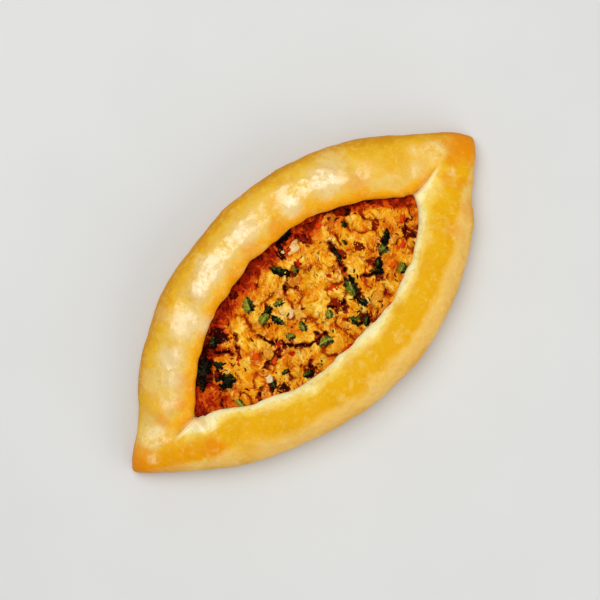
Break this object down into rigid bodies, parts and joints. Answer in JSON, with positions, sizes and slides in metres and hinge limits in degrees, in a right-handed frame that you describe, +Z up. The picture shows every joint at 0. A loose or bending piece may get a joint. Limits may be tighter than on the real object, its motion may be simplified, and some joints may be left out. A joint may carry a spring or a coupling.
{
  "type": "turkish pide",
  "caption": "Boat-shaped flatbread with rolled egg-washed edges pinched to a point at each end, filled with spiced mince, onion and herbs.",
  "frame": {"origin": "middle of the underside's bounding box, on the surface it rests on", "axes": "+X along the bread from one point to the other, +Z up out of the filling, +Y across the bread"},
  "size_m": [0.229, 0.1174, 0.0256],
  "materials": {
    "glazed_crust": "egg-washed baked dough, golden on the rolls and paler at the foot",
    "spiced_mince": "moist cooked mince with paprika"
  },
  "bodies": {
    "root": {"bread_boat": "glazed_crust", "mince_filling": "spiced_mince"}
  },
  "joints": []
}
